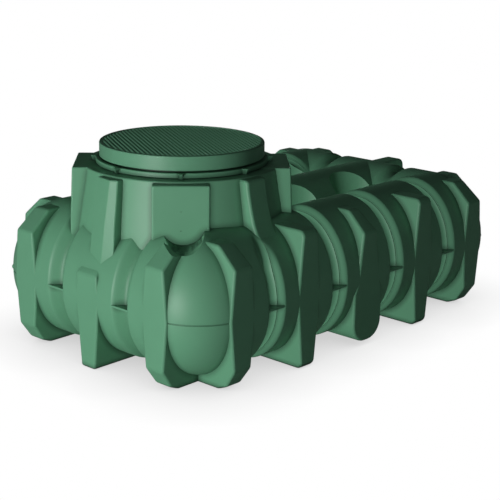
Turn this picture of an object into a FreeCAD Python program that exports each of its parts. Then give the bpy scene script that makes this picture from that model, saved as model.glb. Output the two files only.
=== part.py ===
"""Flat underground water tank: one moulded ribbed shell and the lid that rests on its neck.

X runs along the tank and Y across it. Z is up, and the origin is under the middle of the
tank, on the plane of its feet. Heights named below are counted from the mould's seam.
"""

import FreeCAD, Part
import math
import os

VEC = FreeCAD.Vector
ZAXIS = VEC(0, 0, 1)

# Layout in millimetres
pitch = 400.0               # from one slab or long tube to the next, both ways
bays_long = 4               # bays between slabs along the tank
bays_wide = 2               # bays between slabs across the tank
seam_height = 305.0         # feet to the mould's seam
wall = 8.0                  # moulded wall

# Tube section: two ovals of tangent arcs that meet at the seam
tube_half_width = 250.0
crest_height = 310.0
crest_radius = 200.0
belly_depth = 280.0
belly_radius = 215.0
facet_turn = 21.0           # most that one flat facet of the section turns, in degrees
corner_facets = 5           # facets round each rounded corner
room_facet_turn = 36.0      # the same two for the room inside, which is drawn more plainly
room_corner_facets = 3
cut_margin = 1.0            # cutters run on this far past what they cut

# Ring grooves round the outer tubes, with a flat web at the seam in each
groove_half_width = 50.0
groove_depth = 45.0
web_thickness = 9.0
web_inset = 1.0

# Slabs round the outer half of the outer tubes
slab_thickness = 127.0      # at the seam
slab_draft_up = 0.069       # lost per side for each millimetre above the seam
slab_draft_down = 0.104
slab_top = 297.0
slab_corner = 30.0
slab_edge = 10.0            # bevel round the slab's outline
slope_start_up = 215.0      # where the sloped shoulder of a bevelled slab begins
slope_depth_up = 85.0
slope_start_down = 210.0
slope_depth_down = 100.0
slope_bow_down = 13.0

# Middle slab with its wide rounded foot
middle_half_top = 34.0
middle_half_seam = 74.0
foot_half_width = 97.0
foot_shoulder = 60.0        # below the seam
foot_radius = 88.0
foot_lift = 22.0            # above the plane of the other feet

# Funnels that tie the top of the shell to its bottom
funnels_long = 2            # along each valley between long tubes
funnel_first = 90.0         # from the middle of the tank
funnel_mouth_radius = 156.0
funnel_throat_radius = 62.0
funnel_proud = 10.0         # the mouth is this far past the tubes' crests
funnel_facets = 14

# Lug at the seam on each rounded corner
lug_radius = 14.0
lug_height = 20.0
lug_proud = 8.0
lug_sides = 8

# Dome that carries the neck
dome_x = -500.0
dome_front = 225.0          # direction that its flat panel faces, in degrees
dome_top = 500.0
dome_top_radius = 350.0
flare_height = 330.0
flare_radius = 373.0
dome_foot_height = 195.0
dome_foot_radius = 465.0
dome_sunk = 110.0           # the dome runs on this far below its foot, inside the tubes
pocket_radius = 335.0
pocket_spans = ((18.0, 47.0), (56.0, 78.0))   # each side of the front, in degrees
panel_distance = 345.0
panel_half_width = 112.0
panel_draft = 0.05
panel_top = 470.0
panel_edge = 8.0
pillar_angle = 75.0         # each side of the front
pillar_reach = 462.0
pillar_width = 70.0
pillar_top = 500.0

# Neck, ring and lid
ring_radius = 369.0
ring_thickness = 22.0
neck_radius = 334.0
manhole_radius = 300.0
neck_top = 568.0
clip_count = 8
clip_width = 44.0
clip_height = 26.0
clip_reach = 385.0
lid_radius = 353.5
lid_top = 586.0
lid_skirt_bottom = 525.5
lid_edge = 6.0
lid_clearance = 5.0         # neck to skirt
rib_field_radius = 338.0
rib_pitch = 17.6
rib_gap = 8.0
rib_depth = 4.0
rib_angle = 60.0

half_length = pitch * bays_long / 2
half_width = pitch * bays_wide / 2
side_lines = [pitch * (i - bays_long / 2) for i in range(bays_long + 1)]
end_lines = [pitch * (i - bays_wide / 2) for i in range(bays_wide + 1)]


def face_of(points):
    """Face inside a closed outline of straight edges."""
    return Part.Face(Part.makePolygon(points + points[:1]))


def bend(centre, radius, first, last, steps):
    """Points along an arc as (along, up) pairs, from one angle in degrees to another."""
    points = []
    for i in range(steps + 1):
        turn = math.radians(first + (last - first) * i / steps)
        points.append((centre[0] + radius * math.cos(turn), centre[1] + radius * math.sin(turn)))
    return points


def turned(shape, angle, x=0.0, y=0.0):
    """Copy of a shape turned about the vertical line through the origin, then moved."""
    moved = shape.copy()
    moved.rotate(VEC(0, 0, 0), ZAXIS, angle)
    moved.translate(VEC(x, y, 0))
    return moved


def facet_sizes(inset):
    """Turn of a section's facets and number round a corner, plainer for the room inside."""
    if inset:
        return room_facet_turn, room_corner_facets
    return facet_turn, corner_facets


def section_points(offset, most_turn):
    """Corners of the tube's section, grown or shrunk by an offset, as (across, up).

    Each arc is drawn by chords that turn by no more than most_turn degrees.
    """
    points = []
    for sign, height, crown in (
        (1, crest_height, crest_radius),
        (-1, belly_depth, belly_radius),
    ):
        gap = height - crown
        spread = tube_half_width ** 2 + gap ** 2 - crown ** 2
        side = spread / (2 * (tube_half_width - crown))
        shift = side - tube_half_width
        lean = math.degrees(math.atan2(gap, shift))
        base = 0 if sign > 0 else 180
        arcs = (
            (-shift * sign, 0, side, base, base + lean),
            (0, gap * sign, crown, base + lean, base + 180 - lean),
            (shift * sign, 0, side, base + 180 - lean, base + 180),
        )
        for across, up, radius, first, last in arcs:
            halves = 2 if across == 0 else 1    # the crown's arc has a corner at its top
            steps = halves * math.ceil((last - first) / most_turn / halves)
            for i in range(steps):
                turn = math.radians(first + (last - first) * i / steps)
                reach = radius + offset
                points.append((across + reach * math.cos(turn), up + reach * math.sin(turn)))
    return points


def panes(corners):
    """The corners themselves if they lie flat, or else two triangles."""
    if len(corners) == 4:
        a, b, c, d = corners
        if abs((b - a).cross(c - a).normalize().dot(d - a)) > 0.001:
            return [[a, b, c], [a, c, d]]
    return [corners]


def skin(rings):
    """Solid of flat facets between matching rings of points, capped at both ends."""
    faces = [face_of(rings[0]), face_of(rings[-1])]
    size = len(rings[0])
    for here, there in zip(rings, rings[1:]):
        for j in range(size):
            k = (j + 1) % size
            corners = []
            for point in (here[j], here[k], there[k], there[j]):
                if all(point.distanceToPoint(other) > 0.01 for other in corners):
                    corners.append(point)
            if len(corners) > 2:
                faces += [face_of(pane) for pane in panes(corners)]
    solid = Part.Solid(Part.Shell(faces))
    if solid.Volume < 0:
        solid.reverse()
    return solid


def groove_size(inset):
    """Half width and depth of a groove, measured at the wall it is sunk in."""
    half = groove_half_width
    deep = groove_depth
    flank = math.atan2(deep, half)
    if inset:
        half = half * (1 - inset / deep) + inset / math.sin(flank)
        deep = deep + inset / math.cos(flank) - inset
    return half, deep


def tube(half_run, grooves, inset):
    """Tube along X, centred on the origin, with ring grooves at the given places.

    From the crest on, a groove fades out towards the valley on the tank's inner side, +Y.
    """
    half, deep = groove_size(inset)
    most_turn, _ = facet_sizes(inset)
    plain = section_points(-inset, most_turn)
    sunk = []
    for (y, z), (y_in, z_in) in zip(plain, section_points(-inset - deep, most_turn)):
        share = min(max(1 - 2 * y / pitch, 0), 1)
        sunk.append((y + share * (y_in - y), z + share * (z_in - z)))
    stations = [(-half_run, plain)]
    for x in grooves:
        stations += [(x - half, plain), (x, sunk), (x + half, plain)]
    stations.append((half_run, plain))
    return skin([[VEC(x, y, z) for y, z in points] for x, points in stations])


def cell(solid, outline):
    """The part of a tube that lies inside an outline in plan."""
    tall = 2 * (crest_height + belly_depth)
    points = [VEC(x, y, -tall / 2) for x, y in outline]
    return solid.common(face_of(points).extrude(VEC(0, 0, tall))).Solids[0]


def outer_tube(half_run, bays, valleys, inset):
    """Outer tube along X, its outer side towards -Y, grooved in the middle of each bay."""
    grooves = [pitch * (i - (bays - 1) / 2) for i in range(bays)]
    far = 2 * tube_half_width
    outline = [(-half_run, 0), (-half_run, -far), (half_run, -far), (half_run, 0)]
    return cell(tube(half_run, grooves, inset), outline + valleys)


def corner(inset):
    """Quarter of the tube's section turned about the upright line, in the -X -Y corner."""
    most_turn, count = facet_sizes(inset)
    right = [(y, z) for y, z in section_points(-inset, most_turn) if y > 0.01]
    half_section = [VEC(0, 0, inset - belly_depth)]
    half_section += [VEC(y, 0, z) for y, z in right if z < -0.01]
    half_section += [VEC(y, 0, z) for y, z in right if z > -0.01]
    half_section.append(VEC(0, 0, crest_height - inset))
    rings = []
    for i in range(count + 1):
        place = FreeCAD.Placement(VEC(0, 0, 0), ZAXIS, 180 + 90 * i / count)
        rings.append([place.multVec(point) for point in half_section])
    return skin(rings)


def corner_places():
    """Turn and place of each of the four corners, from the -X -Y one round."""
    signs = ((-1, -1), (1, -1), (1, 1), (-1, 1))
    return [(90 * i, signs[i][0] * half_length, signs[i][1] * half_width) for i in range(4)]


def build_frame(inset):
    """Outer tubes, their corners and the middle tubes, with the seam at height 0.

    The tubes meet on the upright planes of their valleys, so each fills its own cell.
    """
    near = pitch / 2
    flat_valley = [(half_length - near, near), (near - half_length, near)]
    zigzag = []
    for i in reversed(range(bays_wide)):
        zigzag.append((end_lines[i] + near, near))
        if i:
            zigzag.append((end_lines[i], 0))
    long_tube = outer_tube(half_length, bays_long, flat_valley, inset)
    end_tube = outer_tube(half_width, bays_wide, zigzag, inset)
    ends = [(-half_length, 0), (near - half_length, -near), (half_length - near, -near)]
    middle = cell(tube(half_length, [], inset), ends + [(half_length, 0)] + flat_valley)
    quarter = corner(inset)
    pieces = [turned(quarter, *place) for place in corner_places()]
    for i in range(2):
        pieces.append(turned(turned(long_tube, 0, 0, -half_width), 180 * i))
        pieces.append(turned(turned(end_tube, -90, -half_length, 0), 180 * i))
    for y in end_lines[1:-1]:
        pieces.append(turned(middle, 0, 0, y))
    return pieces


def slab_side(kind, inset):
    """Outline of a slab seen along the tube, as (depth from the outer plane, height)."""
    top = slab_top - inset
    foot = inset - seam_height
    face = inset
    deep = tube_half_width - inset
    if kind == "square":
        r = slab_corner
        shoulder = bend((face + r, top - r), r, 180, 90, 2)
        toe = bend((face + r, foot + r), r, 270, 180, 2)
        return shoulder + [(deep, top), (deep, foot)] + toe
    shoulder = [(face, slope_start_up), (face + slope_depth_up, top), (deep, top)]
    if kind == "middle":
        base = foot + foot_lift
        return shoulder + [(deep, base), (face, base)]
    heel = (face + slope_depth_down, foot)
    ankle = (face, -slope_start_down)
    bow = slope_bow_down * math.sqrt(0.5)
    knee = ((heel[0] + ankle[0]) / 2 - bow, (heel[1] + ankle[1]) / 2 - bow)
    return shoulder + [(deep, foot), heel, knee, ankle]


def slab_front(kind, inset):
    """Outline of a slab seen from its outer face, as (along the tube, height)."""
    half = slab_thickness / 2 - inset
    top = crest_height
    foot = -seam_height
    if kind == "middle":
        half = middle_half_seam - inset
        upper = middle_half_top - inset
        wide = foot_half_width - inset
        radius = foot_radius - inset
        base = foot + foot_lift + inset
        right = [(wide, -foot_shoulder)]
        right += bend((wide - radius, base + radius), radius, 360, 270, 3)
    else:
        upper = half - slab_draft_up * top
        right = [(half + slab_draft_down * foot, foot)]
    right = [(upper, top), (half, 0)] + right
    return right + [(-x, z) for x, z in reversed(right)]


def slab(kind, inset):
    """Slab across a tube along X, its outer face on the plane Y = 0 and depth along +Y."""
    span = 2 * tube_half_width
    side = face_of([VEC(-span / 2, y, z) for y, z in slab_side(kind, inset)])
    front = face_of([VEC(x, 0, z) for x, z in slab_front(kind, inset)])
    solid = side.extrude(VEC(span, 0, 0)).common(front.extrude(VEC(0, span, 0))).Solids[0]
    if inset:
        return solid
    edges = [e for e in solid.Edges if is_outline(e, kind)]
    return solid.makeChamfer(slab_edge, edges)


def is_outline(edge, kind):
    """True for the edges between a slab's two broad sides and its rim."""
    box = edge.BoundBox
    level = box.ZLength < 0.01
    if box.YMin > tube_half_width - 0.01:
        return False
    above = box.ZMin > slab_edge
    below = box.ZMax < -slab_edge
    if level and box.YLength > 0.01:
        return above or (kind != "middle" and below)
    if level:
        return kind == "middle" and below and box.YMin < 0.01
    return kind != "middle" or not box.ZMin < -slab_edge or box.YMax < 0.01


def build_slabs(inset):
    shapes = {kind: slab(kind, inset) for kind in ("square", "bevelled", "middle")}
    pieces = []
    count = len(side_lines)
    for i, x in enumerate(side_lines):
        kind = "bevelled" if i in (0, count - 1) else "square"
        if 2 * i == count - 1:
            kind = "middle"
        near = turned(shapes[kind], 0, x, -half_width - tube_half_width)
        pieces += [near, turned(near, 180)]
    count = len(end_lines)
    for i, y in enumerate(end_lines):
        kind = "bevelled" if i in (0, count - 1) else "square"
        end = turned(shapes[kind], -90, -half_length - tube_half_width, y)
        pieces += [end, turned(end, 180)]
    return pieces


def build_webs():
    """Flat webs that bridge the grooves at the seam, on the outer side."""
    deep = groove_depth + web_inset
    web = Part.makeBox(2 * groove_half_width, deep, web_thickness)
    web.translate(VEC(-groove_half_width, web_inset - tube_half_width, -web_thickness / 2))
    pieces = []
    for i in range(bays_long):
        near = turned(web, 0, side_lines[i] + pitch / 2, -half_width)
        pieces += [near, turned(near, 180)]
    for i in range(bays_wide):
        end = turned(web, -90, -half_length, end_lines[i] + pitch / 2)
        pieces += [end, turned(end, 180)]
    return pieces


def build_lugs():
    """Small lug at the seam in the middle of each rounded corner."""
    middle = (lug_radius - lug_proud - tube_half_width, 0)
    outline = bend(middle, lug_radius, 0, 360, lug_sides)[:-1]
    points = [VEC(x, y, -lug_height / 2) for x, y in outline]
    lug = face_of(points).extrude(VEC(0, 0, lug_height))
    return [turned(turned(lug, 45), *place) for place in corner_places()]


def funnel(throat, mouth, low, high):
    """Funnel of flat facets from its throat at one height to its mouth at another."""
    rings = []
    for radius, height in ((throat, low), (mouth, high)):
        ring = []
        for i in range(funnel_facets):
            turn = 2 * math.pi * (i + 0.5) / funnel_facets
            ring.append(VEC(radius * math.cos(turn), radius * math.sin(turn), height))
        rings.append(ring)
    return skin(rings)


def funnel_cutters(grow):
    """Funnels sunk from above and below, apart by one wall at the seam."""
    gap = wall / 2 - grow
    throat = funnel_throat_radius + grow
    mouth = funnel_mouth_radius + grow
    upper = funnel(throat, mouth, gap, crest_height + funnel_proud)
    lower = funnel(throat, mouth, -gap, -belly_depth - funnel_proud)
    cutters = []
    for column in range(funnels_long):
        x = funnel_first + column * pitch
        for i in range(bays_wide):
            for cutter in (upper, lower):
                cutters.append(turned(cutter, 0, x, end_lines[i] + pitch / 2))
    return cutters


def around(shape, angle):
    """Copy of a shape made round the dome's axis and facing +X, turned to an angle."""
    return turned(shape, angle, dome_x, 0)


def turned_solid(profile):
    """Solid of revolution from (radius, height) corners that start and end on the axis."""
    points = [VEC(r, 0, h) for r, h in profile]
    return face_of(points).revolve(VEC(0, 0, 0), ZAXIS, 360)


def sector(inner, outer, low, high, start, stop):
    """Part of a ring between two angles, round the upright axis."""
    points = [VEC(inner, 0, low), VEC(outer, 0, low), VEC(outer, 0, high), VEC(inner, 0, high)]
    solid = face_of(points).revolve(VEC(0, 0, 0), ZAXIS, stop - start)
    return turned(solid, start)


def build_dome():
    """Flared dome with pockets, a flat panel, two pillars, the ring and the neck."""
    sink = dome_foot_height - dome_sunk
    body = turned_solid([
        (0, dome_top), (dome_top_radius, dome_top), (flare_radius, flare_height),
        (dome_foot_radius, dome_foot_height), (dome_foot_radius, sink), (0, sink),
    ])
    high = dome_top - ring_thickness
    cutters = []
    for near, far in pocket_spans:
        for start, stop in ((near, far), (-far, -near)):
            wide = 2 * dome_foot_radius
            cutters.append(sector(pocket_radius, wide, sink - cut_margin, high, start, stop))
    core = Part.makeCylinder(pocket_radius, dome_top - sink, VEC(0, 0, sink))
    body = body.cut(cutters).fuse(core)
    panel = build_panel(sink)
    pillars = [turned(build_pillar(sink), a) for a in (pillar_angle, -pillar_angle)]
    rim = Part.makeCylinder(ring_radius, ring_thickness, VEC(0, 0, dome_top))
    neck = Part.makeCylinder(neck_radius, neck_top - dome_top, VEC(0, 0, dome_top))
    clips = []
    for i in range(clip_count):
        clip = Part.makeBox(clip_reach - neck_radius, clip_width, clip_height)
        clip.translate(VEC(neck_radius, -clip_width / 2, dome_top + ring_thickness - clip_height))
        clips.append(turned(clip, 360 * i / clip_count))
    body = body.multiFuse([panel, rim, neck] + pillars + clips)
    return around(body, dome_front)


def build_panel(sink):
    """Flat panel for a pipe, drafted to its sides and bevelled round its face."""
    spread = panel_draft * (panel_top - sink)
    half = panel_half_width
    points = [
        VEC(0, half, panel_top), VEC(0, -half, panel_top),
        VEC(0, -half - spread, sink), VEC(0, half + spread, sink),
    ]
    plate = face_of(points).extrude(VEC(panel_distance, 0, 0))
    edges = []
    for edge in plate.Edges:
        box = edge.BoundBox
        if box.XMin > panel_distance - panel_edge and box.ZMax > sink + panel_edge:
            edges.append(edge)
    return plate.makeChamfer(panel_edge, edges)


def build_pillar(sink):
    pillar = Part.makeBox(pillar_reach, pillar_width, pillar_top - sink)
    pillar.translate(VEC(0, -pillar_width / 2, sink))
    edges = [e for e in pillar.Edges if e.BoundBox.XMin > pillar_reach - panel_edge]
    return pillar.makeChamfer(panel_edge, edges)


def build_shell():
    """The moulded shell: everything outside less the room inside."""
    outer = build_frame(0) + build_slabs(0) + build_webs() + build_lugs()
    outer = outer[0].multiFuse(outer[1:])
    outer = outer.fuse(build_dome()).cut(funnel_cutters(0))
    inner = build_frame(wall) + build_slabs(wall)
    inner = inner[0].multiFuse(inner[1:])
    room = pocket_radius - wall
    ceiling = dome_top - wall
    above = neck_top + cut_margin
    profile = [(0, above), (manhole_radius, above), (manhole_radius, ceiling)]
    profile += [(room, ceiling), (room, 0), (0, 0)]
    inner = inner.fuse(around(turned_solid(profile), 0)).cut(funnel_cutters(wall))
    shell = outer.cut(inner)
    shell.translate(VEC(0, 0, seam_height))
    return shell


def build_lid():
    """Lid with a skirt and a field of straight ribs, resting on the neck's rim."""
    skirt = neck_radius + lid_clearance
    profile = [
        (0, lid_top), (lid_radius - lid_edge, lid_top), (lid_radius, lid_top - lid_edge),
        (lid_radius, lid_skirt_bottom), (skirt, lid_skirt_bottom), (skirt, neck_top), (0, neck_top),
    ]
    lid = turned_solid(profile)
    slots = []
    count = int(rib_field_radius / rib_pitch)
    for i in range(-count, count + 1):
        y = i * rib_pitch
        reach = math.sqrt(rib_field_radius ** 2 - y ** 2)
        slot = Part.makeBox(2 * reach, rib_gap, 2 * rib_depth)
        slot.translate(VEC(-reach, y - rib_gap / 2, lid_top - rib_depth))
        slots.append(slot)
    lid = lid.cut(Part.makeCompound(slots))
    lid = around(lid, rib_angle)
    lid.translate(VEC(0, 0, seam_height))
    return lid


def save(name, shape):
    solids = shape.Solids
    print(name, len(solids), "solid,", shape.isValid(), round(shape.Volume / 1e6, 2), "litres")
    solids[0].exportStep(os.path.join("parts", name + ".step"))


os.makedirs("parts", exist_ok=True)
save("tank_shell", build_shell())
save("lid", build_lid())
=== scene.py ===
"""Looks of the flat underground tank: its ribbed shell, the dome with its neck, and the lid."""

import math

import bmesh
import bpy
from mathutils import Matrix, Vector


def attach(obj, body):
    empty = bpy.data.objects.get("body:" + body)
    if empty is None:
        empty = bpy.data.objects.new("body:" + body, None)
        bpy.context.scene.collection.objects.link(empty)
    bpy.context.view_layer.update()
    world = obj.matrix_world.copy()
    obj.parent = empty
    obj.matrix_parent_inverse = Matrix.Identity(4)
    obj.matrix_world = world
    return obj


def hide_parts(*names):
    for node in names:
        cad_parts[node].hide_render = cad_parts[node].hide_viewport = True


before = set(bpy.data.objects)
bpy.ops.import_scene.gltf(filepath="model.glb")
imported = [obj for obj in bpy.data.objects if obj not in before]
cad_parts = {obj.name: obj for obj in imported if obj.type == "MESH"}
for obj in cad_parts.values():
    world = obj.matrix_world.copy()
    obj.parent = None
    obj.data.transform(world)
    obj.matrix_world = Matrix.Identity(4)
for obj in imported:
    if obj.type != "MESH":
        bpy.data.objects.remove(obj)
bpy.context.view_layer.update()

# Layout in metres, heights counted from the mould's seam
SEAM = 0.305
PITCH = 0.4
HALF_LENGTH = 2 * PITCH
HALF_WIDTH = PITCH
SIDE_LINES = [PITCH * i for i in (-2, -1, 0, 1, 2)]
END_LINES = [PITCH * i for i in (-1, 0, 1)]
SKIN = 0.0005
CLOSE = 0.001
HAIR = 0.00001

# Tube section and its grooves
TUBE_SIDES = 96
TUBE_HALF = 0.2495
CREST = 0.3095
BELLY = 0.2795
BALL_RINGS = 64
GROOVE_HALF = 0.05
GROOVE_DEPTH = 0.044
GROOVE_CUTS = 11
GROOVE_LIP = 1.1
FILL_LOW = 0.15
FILL_HIGH = 0.235
NOTCH = ((0.545, 0.45), (0.54, 0.53), (0.47, 0.54))
NOTCH_ROOM = 0.02
WEB_THICKNESS = 0.009
WEB_SINK = 0.001
WEB_EDGE = 0.0015
SEAM_CUT = 0.0036
SEAM_OUT = 0.0006
LUG_RADIUS = 0.0125
LUG_SINK = 0.005

# Slabs
SLAB_HALF = 0.0715
SLAB_HALF_TOP = 0.044
SLAB_HALF_FOOT = 0.042
SLAB_TOP = 0.293
SLAB_EDGE = 0.011
SLAB_ENDS = 0.2
SQUARE_ROUND = 0.03
SLOPE_UP = 0.208
SLOPE_UP_DEPTH = 0.1
JOINED_START = 0.1
JOINED_TOP = 0.27
JOINED_DEPTH = 0.16
SLOPE_DOWN = 0.21
SLOPE_DOWN_DEPTH = 0.1
SLOPE_DOWN_NORMAL = (0, -0.11875, -0.08)
SOLE_NORMAL = (0, -0.42, -1)
MIDDLE_HALF = 0.074
MIDDLE_HALF_TOP = 0.034
FOOT_HALF = 0.097
FOOT_SHOULDER = 0.06
FOOT_LIFT = 0.022
FOOT_ROUND = 0.085
FOOT_CURVE = 0.0833

# Funnels between the long tubes
FUNNEL_MOUTH = 0.156
FUNNEL_THROAT = 0.062
FUNNEL_TOP = 0.32
FUNNEL_LIFT = 0.004
FUNNEL_SIDES = 64
FUNNEL_COLUMNS = (0.09, 0.49)

# Dome
DOME_X = -0.5
DOME_FRONT = math.radians(225)
DOME_TOP = 0.497
DOME_SIDES = 144
DOME_WALL = ((0.424, 0.497), (0.436, 0.41), (0.449, 0.33), (0.46, 0.25), (0.466, 0.1))
PANEL_REACH = ((0.464, 0.49), (0.48, 0.27), (0.482, 0.1))
PANEL_HALF = 0.117
PANEL_SPREAD = 1.08
PANEL_MARKS = (0.386, 0.308)
MARK_REACH = 0.474
MARK_RADIUS = 0.004
PLATE_INNER = 0.2
PLATE_REACH = ((0.458, 0.498), (0.468, 0.27), (0.47, 0.1))
PLATE_HALF = 0.158
RIB_NEAR = 0.085
RIB_FAR = 0.03
RIGHT_REACH = (
    (0.46, 0.492), (0.466, 0.45), (0.476, 0.406), (0.487, 0.361), (0.5, 0.315), (0.518, 0.277), (0.55, 0.243),
    (0.57, 0.21), (0.57, 0.1),
)
LEFT_REACH = ((0.463, 0.49), (0.477, 0.41), (0.496, 0.31), (0.51, 0.21), (0.522, 0.127), (0.525, 0.05))
RIDGE = 0.055
RIDGE_DROP_NEAR = 0.018
RIDGE_DROP_FAR = 0.012
LEFT_LEAN = 0.037
TROUGH_RADIUS = 0.092
TROUGH_INNER = 0.347
TROUGH_OUTER = 0.335
TROUGH_SHIFT = 0.008
TROUGH_START = 0.25
TROUGH_END = 0.95
TROUGH_OPEN = 0.34
TROUGH_RISE = 0.1
RING_RADIUS = 0.369
RING_HEIGHT = 0.022
RING_LIP = 0.012
NECK_RADIUS = 0.334
MANHOLE_RADIUS = 0.3
NECK_TOP = 0.568
NECK_ROOT = 0.02
BORE_FOOT = 0.3
BORE_RISE = 0.01
CLIPS = 8
CLIP_INNER = 0.34
CLIP_OUTER = 0.39
CLIP_HALF = 0.036
CLIP_DROP = 0.032
CLIP_POINT = 0.16
CLIP_PULL = 0.014

# Lid
LID_RADIUS = 0.3535
LID_TOP = 0.586
LID_SKIRT = 0.5255
LID_SIDES = 160
LID_EDGE = 0.0025
LID_ROUND = 0.006
LID_ROUND_MIDDLE = 0.0018
LID_PLAY = 0.005
RIB_FIELD = 0.338
RIB_PITCH = 0.0176
RIB_GAP = 0.0085
RIB_DEPTH = 0.0047
RIB_ROOT = 0.008
RIB_EDGE = 0.0006
RIB_ANGLE = math.radians(60)

# Plastic
SHELL_GREEN = (0.16, 0.43, 0.255)
# Painted shade: darker greens that the base colour blends toward in creases and between parts
SHELL_PAINTED_SHADE = (0.012, 0.035, 0.02)
LID_GREEN = (0.15, 0.4, 0.24)
LID_PAINTED_SHADE = (0.01, 0.03, 0.018)
GRAIN_SCALE = 420.0
CLOUD_SCALE = 7.0
GRAIN_DEPTH = 0.0008

# Camera, from lines of the photograph
VIEW_YAW = math.radians(42.51)
VIEW_PITCH = math.radians(15.63)
VIEW_ROLL = math.radians(0.82)
VIEW_PLACE = Vector((-4.412, -3.989, 1.967))
VIEW_LENS = 95.33
VIEW_SENSOR = 36.0


def begin():
    if bpy.context.mode != "OBJECT":
        bpy.ops.object.mode_set(mode="OBJECT")
    bpy.ops.object.select_all(action="DESELECT")


def name_it(name):
    piece = bpy.context.active_object
    piece.name = name
    piece.data.name = name
    return piece


def edit(piece):
    begin()
    piece.select_set(True)
    bpy.context.view_layer.objects.active = piece
    bpy.ops.object.mode_set(mode="EDIT")


def pick(piece, test, kind="VERT"):
    """Selects the vertices, edges or faces of the edited piece that pass a test on their middle."""
    bpy.ops.mesh.select_mode(type=kind)
    bpy.ops.mesh.select_all(action="DESELECT")
    mesh = bmesh.from_edit_mesh(piece.data)
    groups = {"VERT": mesh.verts, "EDGE": mesh.edges, "FACE": mesh.faces}
    for item in groups[kind]:
        if kind == "VERT":
            middle = item.co
        elif kind == "EDGE":
            middle = (item.verts[0].co + item.verts[1].co) / 2
        else:
            middle = item.calc_center_median()
        if test(middle):
            item.select_set(True)
    mesh.select_flush_mode()
    bmesh.update_edit_mesh(piece.data)


def trim(point, normal):
    """Cuts the edited piece by a plane, drops the side the normal points to and closes the cut."""
    bpy.ops.mesh.select_all(action="SELECT")
    bpy.ops.mesh.bisect(plane_co=point, plane_no=normal, use_fill=True, clear_outer=True)


def score(point, normal):
    """Adds a line of edges where a plane crosses the edited piece."""
    bpy.ops.mesh.select_all(action="SELECT")
    bpy.ops.mesh.bisect(plane_co=point, plane_no=normal)


def place(piece, turn=0.0, at=(0, 0, 0)):
    """Turns a piece's mesh about the upright line and moves it, and keeps its object at the origin."""
    begin()
    piece.data.transform(Matrix.Translation(Vector(at)) @ Matrix.Rotation(turn, 4, "Z"))
    return piece


def copy_of(piece, turn=0.0, at=(0, 0, 0)):
    twin = piece.copy()
    twin.data = piece.data.copy()
    bpy.context.collection.objects.link(twin)
    return place(twin, turn, at)


def settle(piece):
    """Moves the object's own place into its mesh."""
    begin()
    piece.select_set(True)
    bpy.context.view_layer.objects.active = piece
    bpy.ops.object.transform_apply(location=True, rotation=True, scale=True)
    return piece


def modify(piece, kind, **settings):
    begin()
    bpy.context.view_layer.objects.active = piece
    piece.select_set(True)
    modifier = piece.modifiers.new(kind.lower(), kind)
    for key, value in settings.items():
        setattr(modifier, key, value)
    bpy.ops.object.modifier_apply(modifier=modifier.name)
    return piece


def carve(piece, cutter, operation="DIFFERENCE", keep=False):
    modify(piece, "BOOLEAN", object=cutter, operation=operation, solver="EXACT")
    if not keep:
        bpy.data.objects.remove(cutter)
    return piece


def soften(piece, width, segments=3, angle=25):
    return modify(
        piece, "BEVEL", width=width, segments=segments, limit_method="ANGLE",
        angle_limit=math.radians(angle),
    )


def smooth(piece, angle=32):
    begin()
    piece.select_set(True)
    bpy.context.view_layer.objects.active = piece
    bpy.ops.object.shade_smooth_by_angle(angle=math.radians(angle))
    return modify(piece, "WEIGHTED_NORMAL", keep_sharp=True, weight=60)


def block(name, low, high):
    """Box between two corners."""
    begin()
    low, high = Vector(low), Vector(high)
    bpy.ops.mesh.primitive_cube_add(size=1, location=(low + high) / 2, scale=high - low)
    return settle(name_it(name))


def joined(name, pieces):
    begin()
    for piece in pieces:
        piece.select_set(True)
    bpy.context.view_layer.objects.active = pieces[0]
    bpy.ops.object.join()
    return name_it(name)


def groove_steps(notched):
    """Share of a groove's half width and of its depth, from its lip to its middle."""
    steps = []
    for i in range(GROOVE_CUTS + 1):
        share = 1 - i / GROOVE_CUTS
        steps.append((GROOVE_LIP * share, (1 + math.cos(math.pi * share)) / 2))
    if notched:
        first, last = NOTCH[0][0], NOTCH[-1][0]
        steps = [step for step in steps if step[0] > first + NOTCH_ROOM or step[0] < last - NOTCH_ROOM]
        steps = sorted(steps + list(NOTCH), reverse=True)
    return steps


def make_oval(piece, x=0.0):
    """Stretches the edited round piece up to the crest's height and down to the belly's."""
    pick(piece, lambda co: co.z > HAIR)
    bpy.ops.transform.resize(value=(1, 1, CREST / TUBE_HALF), center_override=(x, 0, 0))
    pick(piece, lambda co: co.z < -HAIR)
    bpy.ops.transform.resize(value=(1, 1, BELLY / TUBE_HALF), center_override=(x, 0, 0))


def make_tube(name, half_run, grooves, notched=False):
    """Tube along X drawn as an oval ring pulled along, and squeezed where a groove goes round."""
    steps = groove_steps(notched)
    stations = [(-half_run, 0.0)]
    for middle in grooves:
        down = [(middle - s * GROOVE_HALF, d * GROOVE_DEPTH) for s, d in steps]
        up = [(middle + s * GROOVE_HALF, d * GROOVE_DEPTH) for s, d in reversed(steps[:-1])]
        stations += down + up
    stations.append((half_run, 0.0))
    begin()
    bpy.ops.mesh.primitive_circle_add(
        vertices=TUBE_SIDES, radius=TUBE_HALF, fill_type="NGON",
        location=(-half_run, 0, 0), rotation=(0, math.pi / 2, 0),
    )
    tube = settle(name_it(name))
    edit(tube)
    make_oval(tube, -half_run)
    bpy.ops.mesh.select_mode(type="FACE")
    bpy.ops.mesh.select_all(action="SELECT")
    for (x0, d0), (x1, d1) in zip(stations, stations[1:]):
        bpy.ops.mesh.extrude_region_move(TRANSFORM_OT_translate={"value": (x1 - x0, 0, 0)})
        across = (TUBE_HALF - d1) / (TUBE_HALF - d0)
        upright = (CREST - d1) / (CREST - d0)
        if d0 != d1:
            bpy.ops.transform.resize(value=(1, across, upright), center_override=(x1, 0, 0))
    bpy.ops.mesh.select_all(action="SELECT")
    bpy.ops.mesh.normals_make_consistent(inside=False)
    begin()
    fade_grooves(tube, stations)
    return tube


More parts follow.
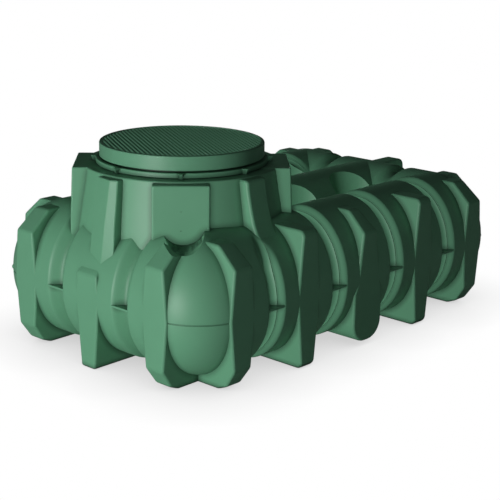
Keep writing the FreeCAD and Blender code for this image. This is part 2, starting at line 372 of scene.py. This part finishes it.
def fade_grooves(tube, stations):
    """Lets the grooves run out between the crest and the valley on the tank's inner side."""
    depth = {round(x, 5): d for x, d in stations}
    for vertex in tube.data.vertices:
        y, z = vertex.co.y, vertex.co.z
        sunk = depth[round(vertex.co.x, 5)]
        if y <= 0 or not sunk:
            continue
        across, upright = 1 - sunk / TUBE_HALF, 1 - sunk / CREST
        share = max(1 - 2 * y / across / PITCH, 0)
        vertex.co.y = y / across * (1 - share * (1 - across))
        vertex.co.z = z / upright * (1 - share * (1 - upright))


def fill_groove(tube):
    """Fills the top of the groove beside the rib, where the tube runs smoothly up to the dome."""
    middle = SIDE_LINES[0] + PITCH / 2
    ring = [vertex for vertex in tube.data.vertices if abs(vertex.co.x - middle) < GROOVE_HALF * GROOVE_LIP]
    for vertex in ring:
        y, z = vertex.co.y, vertex.co.z
        if z <= FILL_LOW:
            continue
        turn = math.atan2(z / CREST, y / TUBE_HALF)
        share = min((z - FILL_LOW) / (FILL_HIGH - FILL_LOW), 1)
        vertex.co.y = y + share * (TUBE_HALF * math.cos(turn) - y)
        vertex.co.z = z + share * (CREST * math.sin(turn) - z)


def make_frame():
    """Outer tubes, corner balls and the middle tube."""
    near = make_tube("near_tube", HALF_LENGTH, [x + PITCH / 2 for x in SIDE_LINES[:-1]], True)
    far = copy_of(near, math.pi, (0, HALF_WIDTH, 0))
    fill_groove(near)
    place(near, 0, (0, -HALF_WIDTH, 0))
    middle = make_tube("middle_tube", HALF_LENGTH, [])
    left = make_tube("left_tube", HALF_WIDTH, [-PITCH / 2, PITCH / 2])
    right = copy_of(left, math.pi / 2, (HALF_LENGTH, 0, 0))
    place(left, -math.pi / 2, (-HALF_LENGTH, 0, 0))
    for y, outer in ((-PITCH / 2, near), (PITCH / 2, far)):
        for x in FUNNEL_COLUMNS:
            carve(outer, make_funnel(x, y))
            carve(middle, make_funnel(x, y))
        carve(right, make_funnel(FUNNEL_COLUMNS[-1], y))
    balls = []
    for sx, sy in ((-1, -1), (1, -1), (1, 1), (-1, 1)):
        ball = make_ball(sx * HALF_LENGTH, sy * HALF_WIDTH)
        balls.append(carve(ball, make_seam(sx * HALF_LENGTH, sy * HALF_WIDTH)))
    for part in (near, left, balls[0]):
        carve(part, make_trough())
    return [near, middle, far, left, right] + balls


def make_funnel(x, y):
    begin()
    bpy.ops.mesh.primitive_cone_add(
        vertices=FUNNEL_SIDES, radius1=FUNNEL_THROAT, radius2=FUNNEL_MOUTH, depth=FUNNEL_TOP,
        location=(x, y, FUNNEL_TOP / 2 + FUNNEL_LIFT),
    )
    return settle(name_it("funnel"))


def make_trough():
    """Round hollow that runs out from the panel over the corner, for the pipe that enters there."""
    begin()
    bpy.ops.mesh.primitive_cylinder_add(
        vertices=FUNNEL_SIDES, radius=TROUGH_RADIUS, depth=TROUGH_END - TROUGH_START,
        location=((TROUGH_START + TROUGH_END) / 2, TROUGH_SHIFT, 0), rotation=(0, math.pi / 2, 0),
    )
    trough = settle(name_it("trough"))
    edit(trough)
    for reach, height in ((TROUGH_START, TROUGH_INNER), (TROUGH_END, TROUGH_OUTER)):
        pick(trough, lambda co: abs(co.x - reach) < CLOSE)
        bpy.ops.transform.translate(value=(0, 0, height))
    pick(trough, lambda co: co.z > TROUGH_OPEN)
    bpy.ops.transform.translate(value=(0, 0, TROUGH_RISE))
    return place(trough, DOME_FRONT, (DOME_X, 0, 0))


def make_ball(x, y):
    begin()
    bpy.ops.mesh.primitive_uv_sphere_add(segments=TUBE_SIDES, ring_count=BALL_RINGS, radius=TUBE_HALF)
    ball = settle(name_it("ball"))
    edit(ball)
    make_oval(ball)
    return place(ball, 0, (x, y, 0))


def make_slab(kind):
    """Slab across a tube along X, its outer face on Y = 0 and its depth along +Y."""
    half, top, foot, low = SLAB_HALF, SLAB_HALF_TOP, SLAB_HALF_FOOT, -SEAM
    wide_below = -SLAB_ENDS
    if kind == "middle":
        half, top, foot, low = MIDDLE_HALF, MIDDLE_HALF_TOP, FOOT_HALF, FOOT_LIFT - SEAM
        wide_below = -FOOT_SHOULDER / 2
    slab = block("slab", (-half, SKIN, low), (half, TUBE_HALF, SLAB_TOP))
    edit(slab)
    score((0, 0, 0), (0, 0, 1))
    if kind == "middle":
        score((0, 0, -FOOT_SHOULDER), (0, 0, 1))
        score((0, 0, low + FOOT_ROUND), (0, 0, 1))
    pick(slab, lambda co: co.z > SLAB_ENDS)
    bpy.ops.transform.resize(value=(top / half, 1, 1), center_override=(0, 0, 0))
    pick(slab, lambda co: co.z < wide_below)
    bpy.ops.transform.resize(value=(foot / half, 1, 1), center_override=(0, 0, 0))
    if kind == "square":
        pick(slab, lambda co: co.y < CLOSE and abs(co.z) > SLAB_ENDS, "EDGE")
        bpy.ops.mesh.bevel(offset=SQUARE_ROUND, segments=5, affect="EDGES")
    elif kind == "joined":
        trim((0, 0, JOINED_START), (0, JOINED_START - JOINED_TOP, JOINED_DEPTH))
    else:
        trim((0, 0, SLOPE_UP), (0, SLOPE_UP - SLAB_TOP, SLOPE_UP_DEPTH))
    if kind == "bevelled":
        trim((0, 0, -SLOPE_DOWN), SLOPE_DOWN_NORMAL)
        trim((0, SLOPE_DOWN_DEPTH, -SEAM), SOLE_NORMAL)
    if kind == "middle":
        pick(slab, lambda co: abs(co.x) > FOOT_HALF - CLOSE and co.z < low + CLOSE, "EDGE")
        bpy.ops.mesh.bevel(offset=FOOT_CURVE, segments=8, affect="EDGES")
    begin()
    return soften(slab, SLAB_EDGE, 3, 20)


def make_slabs():
    """Slabs of the four sides, one kind for each place."""
    kinds = {kind: make_slab(kind) for kind in ("square", "bevelled", "middle", "joined")}
    outer = HALF_WIDTH + TUBE_HALF + SKIN
    end = HALF_LENGTH + TUBE_HALF + SKIN
    pieces = []
    for kind, x in zip(("bevelled", "square", "middle", "square", "bevelled"), SIDE_LINES):
        pieces.append(copy_of(kinds[kind], 0, (x, -outer, 0)))
        if x == SIDE_LINES[0]:
            carve(pieces[-1], make_trough())
        pieces.append(copy_of(kinds[kind], math.pi, (x, outer, 0)))
    for kind, y in zip(("bevelled", "square", "bevelled"), END_LINES):
        merged = "joined" if kind == "square" else kind
        pieces.append(copy_of(kinds[merged], -math.pi / 2, (-end, y, 0)))
        if y == END_LINES[0]:
            carve(pieces[-1], make_trough())
        pieces.append(copy_of(kinds[kind], math.pi / 2, (end, y, 0)))
    for slab in kinds.values():
        bpy.data.objects.remove(slab)
    return pieces


def make_webs():
    """Small webs that cross the grooves at the seam."""
    outer = HALF_WIDTH + TUBE_HALF - WEB_SINK
    end = HALF_LENGTH + TUBE_HALF - WEB_SINK
    web = block(
        "web", (-GROOVE_HALF, 0, -WEB_THICKNESS / 2), (GROOVE_HALF, GROOVE_DEPTH, WEB_THICKNESS / 2)
    )
    soften(web, WEB_EDGE, 2)
    pieces = []
    for x in SIDE_LINES[:-1]:
        pieces.append(copy_of(web, 0, (x + PITCH / 2, -outer, 0)))
        pieces.append(copy_of(web, math.pi, (x + PITCH / 2, outer, 0)))
    for y in END_LINES[:-1]:
        pieces.append(copy_of(web, -math.pi / 2, (-end, y + PITCH / 2, 0)))
        pieces.append(copy_of(web, math.pi / 2, (end, y + PITCH / 2, 0)))
    bpy.data.objects.remove(web)
    return pieces


def make_seam(x, y):
    """Thin ring that cuts the fine line of the mould's seam into a ball."""
    begin()
    bpy.ops.mesh.primitive_torus_add(
        major_radius=TUBE_HALF + SEAM_OUT, minor_radius=SEAM_CUT, major_segments=128, minor_segments=8,
        location=(x, y, SKIN),
    )
    return settle(name_it("seam"))


def make_corner_lugs():
    """Small lug at the seam on each ball but the one in front of the panel."""
    pieces = []
    for sx, sy in ((1, -1), (1, 1), (-1, 1)):
        begin()
        bpy.ops.mesh.primitive_uv_sphere_add(segments=24, ring_count=16, radius=LUG_RADIUS)
        lug = settle(name_it("lug"))
        out = TUBE_HALF - LUG_SINK
        turn = math.atan2(sy, sx)
        place(lug, 0, (sx * HALF_LENGTH + out * math.cos(turn), sy * HALF_WIDTH + out * math.sin(turn), 0))
        pieces.append(lug)
    return pieces


def make_lathe(name, outline, sides=DOME_SIDES):
    """Round solid drawn as a ring pulled up through (radius, height) stations."""
    radius, height = outline[0]
    begin()
    bpy.ops.mesh.primitive_circle_add(
        vertices=sides, radius=radius, fill_type="NGON", location=(0, 0, height)
    )
    solid = settle(name_it(name))
    edit(solid)
    bpy.ops.mesh.select_mode(type="FACE")
    bpy.ops.mesh.select_all(action="SELECT")
    for (r0, z0), (r1, z1) in zip(outline, outline[1:]):
        bpy.ops.mesh.extrude_region_move(TRANSFORM_OT_translate={"value": (0, 0, z1 - z0)})
        if r0 != r1:
            bpy.ops.transform.resize(value=(r1 / r0, r1 / r0, 1), center_override=(0, 0, z1))
    bpy.ops.mesh.select_all(action="SELECT")
    bpy.ops.mesh.normals_make_consistent(inside=False)
    begin()
    return solid


def make_plate(name, reach, near, far, spread=1.0):
    """Upright block that faces +X, its outer face drawn through (distance, height) pairs."""
    top, foot = reach[0][1], reach[-1][1]
    plate = block(name, (PLATE_INNER, near, foot), (reach[0][0], far, top))
    edit(plate)
    for _, height in reach[1:-1]:
        score((0, 0, height), (0, 0, 1))
    for distance, height in reach[1:]:
        pick(plate, lambda co: abs(co.z - height) < CLOSE and co.x > PLATE_INNER + CLOSE)
        bpy.ops.transform.translate(value=(distance - reach[0][0], 0, 0))
    pick(plate, lambda co: abs(co.z - foot) < CLOSE)
    bpy.ops.transform.resize(value=(1, spread, 1), center_override=(0, 0, foot))
    begin()
    return plate


def make_right_rib():
    """Flaring rib whose flat face looks along -Y."""
    rib = make_plate("rib", RIGHT_REACH, -RIB_NEAR, RIB_FAR)
    soften(rib, 0.012, 5, 30)
    return place(rib, math.pi / 4)


def make_left_rib():
    """Ridged rib that looks along -X and runs down to the slab below it."""
    rib = make_plate("ridged_rib", LEFT_REACH, -RIB_FAR, RIB_NEAR)
    edit(rib)
    score((0, RIDGE, 0), (0, 1, 0))
    for edge, drop in ((RIB_NEAR, RIDGE_DROP_NEAR), (-RIB_FAR, RIDGE_DROP_FAR)):
        pick(rib, lambda co: abs(co.y - edge) < CLOSE and co.x > PLATE_INNER + CLOSE)
        bpy.ops.transform.translate(value=(-drop, 0, 0))
    top = LEFT_REACH[0][1]
    for _, height in LEFT_REACH:
        lean = LEFT_LEAN * (top - height) / top
        pick(rib, lambda co: abs(co.z - height) < CLOSE and co.y > RIB_NEAR - CLOSE)
        bpy.ops.transform.translate(value=(0, lean, 0))
    begin()
    soften(rib, 0.005, 3, 15)
    return place(rib, -math.pi / 4)


def make_dome():
    """Drum over the manhole with its panel, plates, ribs, ring, clips and neck, facing +X."""
    dome = make_lathe("dome", list(reversed(DOME_WALL)))
    soften(dome, 0.006, 4, 30)
    panel = make_plate("panel", PANEL_REACH, -PANEL_HALF, PANEL_HALF, PANEL_SPREAD)
    soften(panel, 0.008, 4, 30)
    for height in PANEL_MARKS:
        begin()
        bpy.ops.mesh.primitive_uv_sphere_add(
            segments=16, ring_count=8, radius=MARK_RADIUS, location=(MARK_REACH, 0, height)
        )
        carve(panel, settle(name_it("mark")))
    pieces = [dome, panel, make_right_rib(), make_left_rib()]
    for turn in (-math.pi / 2, math.pi / 2, math.pi):
        plate = make_plate("plate", PLATE_REACH, -PLATE_HALF, PLATE_HALF)
        soften(plate, 0.007, 4, 30)
        pieces.append(place(plate, turn))
    low, high = DOME_TOP, DOME_TOP + RING_HEIGHT
    ring = make_lathe("ring", [(RING_RADIUS, low), (RING_RADIUS, high), (RING_RADIUS - RING_LIP, high)])
    soften(ring, 0.004, 3)
    bore = make_lathe("bore", [(MANHOLE_RADIUS, BORE_FOOT), (MANHOLE_RADIUS, NECK_TOP + BORE_RISE)])
    neck = make_lathe("neck", [(NECK_RADIUS, DOME_TOP - NECK_ROOT), (NECK_RADIUS, NECK_TOP)])
    pieces += [ring, neck]
    for part in pieces:
        carve(part, bore, keep=True)
    bpy.data.objects.remove(bore)
    for i in range(CLIPS):
        pieces.append(place(make_clip(), 2 * math.pi * i / CLIPS))
    return [place(piece, DOME_FRONT, (DOME_X, 0, 0)) for piece in pieces]


def make_clip():
    """Small wedge under the ring's edge."""
    top = DOME_TOP + RING_HEIGHT
    clip = block("clip", (CLIP_INNER, -CLIP_HALF, top - CLIP_DROP), (CLIP_OUTER, CLIP_HALF, top))
    edit(clip)
    pick(clip, lambda co: co.z < top - CLOSE or co.x > CLIP_OUTER - CLOSE)
    bpy.ops.transform.resize(value=(1, CLIP_POINT, 1), center_override=(0, 0, top))
    pick(clip, lambda co: co.z < top - CLOSE and co.x > CLIP_OUTER - CLOSE)
    bpy.ops.transform.translate(value=(-CLIP_PULL, 0, 0))
    begin()
    return soften(clip, 0.0015, 2)


def make_lid():
    """Lid with its skirt and the straight ribs of its top."""
    outline = [
        (LID_RADIUS - LID_EDGE, LID_SKIRT), (LID_RADIUS, LID_SKIRT + LID_EDGE),
        (LID_RADIUS, LID_TOP - LID_ROUND), (LID_RADIUS - LID_ROUND_MIDDLE, LID_TOP - LID_ROUND_MIDDLE),
        (LID_RADIUS - LID_ROUND, LID_TOP), (RIB_FIELD + CLOSE, LID_TOP), (RIB_FIELD, LID_TOP - RIB_DEPTH),
    ]
    cover = make_lathe("cover", outline, LID_SIDES)
    room = NECK_RADIUS + LID_PLAY
    carve(cover, make_lathe("inside", [(room, LID_SKIRT - BORE_RISE), (room, NECK_TOP)]))
    ribs = []
    count = int(RIB_FIELD / RIB_PITCH)
    half = (RIB_PITCH - RIB_GAP) / 2
    for i in range(-count, count):
        middle = (i + 0.5) * RIB_PITCH
        reach = math.sqrt(RIB_FIELD ** 2 - middle ** 2)
        low, high = (-reach, middle - half, LID_TOP - RIB_ROOT), (reach, middle + half, LID_TOP - SKIN)
        rib = block("rib", low, high)
        edit(rib)
        trim((0, middle + half, LID_TOP - RIB_DEPTH), (0, 1, 1))
        begin()
        ribs.append(soften(rib, RIB_EDGE, 2))
    lid = joined("ribbed_lid", [cover] + ribs)
    return place(lid, RIB_ANGLE, (DOME_X, 0, 0))


class Value:
    """Number socket of a shader that takes part in plain arithmetic."""

    def __init__(self, shader, socket):
        self.shader = shader
        self.socket = socket

    def _with(self, operation, other, swap=False):
        pair = (other, self) if swap else (self, other)
        return self.shader.node("ShaderNodeMath", {"operation": operation}, {0: pair[0], 1: pair[1]})

    def __add__(self, other):
        return self._with("ADD", other)

    __radd__ = __add__

    def __mul__(self, other):
        return self._with("MULTIPLY", other)

    __rmul__ = __mul__

    def __sub__(self, other):
        return self._with("SUBTRACT", other)

    def __rsub__(self, other):
        return self._with("SUBTRACT", other, swap=True)

    def __pow__(self, other):
        return self._with("POWER", other)


class Shader:
    """Node tree of a material or a world, built by calls."""

    def __init__(self, owner):
        owner.use_nodes = True
        self.tree = owner.node_tree
        self.tree.nodes.clear()

    def node(self, kind, settings=None, inputs=None, output=0):
        node = self.tree.nodes.new(kind)
        for key, value in (settings or {}).items():
            setattr(node, key, value)
        for key, value in (inputs or {}).items():
            if isinstance(value, Value):
                self.tree.links.new(value.socket, node.inputs[key])
            else:
                node.inputs[key].default_value = value
        return Value(self, node.outputs[output]) if len(node.outputs) else node

    def noise(self, vector, scale, detail):
        return self.node("ShaderNodeTexNoise", inputs={"Vector": vector, "Scale": scale, "Detail": detail})

    def mix(self, factor, first, second):
        """Blend of two colours. A Mix node counts its colour sockets after those of the other kinds."""
        inputs = {0: factor, 6: (*first, 1), 7: (*second, 1)}
        return self.node("ShaderNodeMix", {"data_type": "RGBA"}, inputs, 2)

    def seen_and_unseen(self, unseen, seen):
        """Blend of two shaders, the second one for what the camera sees."""
        path = self.node("ShaderNodeLightPath", output="Is Camera Ray")
        return self.node("ShaderNodeMixShader", inputs={0: path, 1: unseen, 2: seen})


def make_plastic(name, colour, painted_shade, roughness, reach):
    """Satin moulded plastic with a fine grain, and painted shade in its creases where ambient occlusion
    darkens the colour.
    """
    material = bpy.data.materials.new(name)
    shader = Shader(material)
    place_on = shader.node("ShaderNodeTexCoord", output="Object")
    fine = shader.noise(place_on, GRAIN_SCALE, 3.0)
    broad = shader.noise(place_on, CLOUD_SCALE, 4.0)
    # Painted shade: ambient occlusion within the reach darkens the base colour toward the deep green in
    # creases, recesses and between parts.
    painted_crease_shade = shader.node("ShaderNodeAmbientOcclusion", {"samples": 8}, {"Distance": reach}, "AO")
    base = shader.mix(painted_crease_shade ** 1.6 * (0.93 + broad * 0.12), painted_shade, colour)
    bump = shader.node(
        "ShaderNodeBump", inputs={"Strength": 0.25, "Distance": GRAIN_DEPTH, "Height": fine}
    )
    surface = shader.node(
        "ShaderNodeBsdfPrincipled",
        inputs={
            "Base Color": base, "Roughness": roughness + (fine - 0.5) * 0.12, "Normal": bump,
            "Specular IOR Level": 0.4,
        },
    )
    shader.node("ShaderNodeOutputMaterial", inputs={"Surface": surface})
    return material


def make_floor():
    """White floor with a painted shadow: it greys softly where the tank stands near it."""
    begin()
    bpy.ops.mesh.primitive_plane_add(size=60, location=(0, 0, -SKIN))
    floor = name_it("floor")
    material = bpy.data.materials.new("pale_floor")
    shader = Shader(material)
    # Painted shadow: ambient occlusion greys the floor's white where the tank stands near it.
    near = shader.node("ShaderNodeAmbientOcclusion", {"samples": 16}, {"Distance": 0.35}, "AO")
    shade = shader.mix(near ** 0.7, (0.55, 0.55, 0.55), (1, 1, 1))
    soft = shader.node("ShaderNodeBsdfDiffuse", inputs={"Color": (0.6, 0.6, 0.6, 1)})
    white = shader.node("ShaderNodeEmission", inputs={"Color": shade, "Strength": 1.0})
    shader.node("ShaderNodeOutputMaterial", inputs={"Surface": shader.seen_and_unseen(soft, white)})
    floor.data.materials.append(material)


def make_world():
    """Dim world that the camera sees as white."""
    world = bpy.data.worlds.new("studio")
    bpy.context.scene.world = world
    shader = Shader(world)
    dim = shader.node("ShaderNodeBackground", inputs={"Color": (0.8, 0.8, 0.8, 1), "Strength": 0.03})
    white = shader.node("ShaderNodeBackground", inputs={"Color": (1, 1, 1, 1)})
    shader.node("ShaderNodeOutputWorld", inputs={"Surface": shader.seen_and_unseen(dim, white)})


def make_light(name, yaw, pitch, energy, size, glossy=True, shadow=True, distance=6.0):
    """Soft lamp that looks at the tank from a direction given in degrees."""
    yaw, pitch = math.radians(yaw), math.radians(pitch)
    out = Vector((math.cos(yaw) * math.cos(pitch), math.sin(yaw) * math.cos(pitch), math.sin(pitch)))
    lamp = bpy.data.lights.new(name, "AREA")
    lamp.energy = energy
    lamp.size = size
    holder = bpy.data.objects.new(name, lamp)
    holder.location = out * distance + Vector((0, 0, 0.4))
    holder.rotation_mode = "QUATERNION"
    holder.rotation_quaternion = out.to_track_quat("Z", "Y")
    holder.visible_glossy = glossy
    lamp.use_shadow = shadow
    bpy.context.collection.objects.link(holder)


def make_camera():
    """Camera at the photograph's view."""
    forward = Vector((
        math.cos(VIEW_PITCH) * math.cos(VIEW_YAW), math.cos(VIEW_PITCH) * math.sin(VIEW_YAW),
        -math.sin(VIEW_PITCH),
    ))
    right = Vector((math.sin(VIEW_YAW), -math.cos(VIEW_YAW), 0))
    up = right.cross(forward)
    level = Matrix((right, up, -forward)).transposed()
    data = bpy.data.cameras.new("view")
    data.lens = VIEW_LENS
    data.sensor_width = VIEW_SENSOR
    camera = bpy.data.objects.new("view", data)
    turn = level @ Matrix.Rotation(VIEW_ROLL, 3, "Z")
    camera.matrix_world = Matrix.Translation(VIEW_PLACE) @ turn.to_4x4()
    bpy.context.collection.objects.link(camera)
    bpy.context.scene.camera = camera


def finish_piece(piece, node, material):
    piece.data.transform(Matrix.Translation((0, 0, SEAM)))
    piece.data.materials.clear()
    piece.data.materials.append(material)
    smooth(piece)
    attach(piece, "root")
    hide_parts(node)


moulded = make_plastic("moulded_green", SHELL_GREEN, SHELL_PAINTED_SHADE, 0.46, 0.03)
moulded_lid = make_plastic("lid_green", LID_GREEN, LID_PAINTED_SHADE, 0.48, 0.004)

tubes = joined("tubes_and_balls", make_frame())
slabs = joined("slabs_and_feet", make_slabs())
seams = joined("webs_and_seams", make_webs() + make_corner_lugs())
dome = joined("dome_and_neck", make_dome())
for piece in (tubes, slabs, seams, dome):
    finish_piece(piece, "tank_shell", moulded)
finish_piece(make_lid(), "lid", moulded_lid)

make_floor()
make_world()
make_light("key", yaw=188, pitch=3.5, energy=168, size=1.3, shadow=False)
make_light("front", yaw=262, pitch=6, energy=10, size=3.0, glossy=False)
make_light("back", yaw=48, pitch=7, energy=150, size=2.0, glossy=False)
make_camera()
bpy.context.scene.view_settings.view_transform = "Standard"
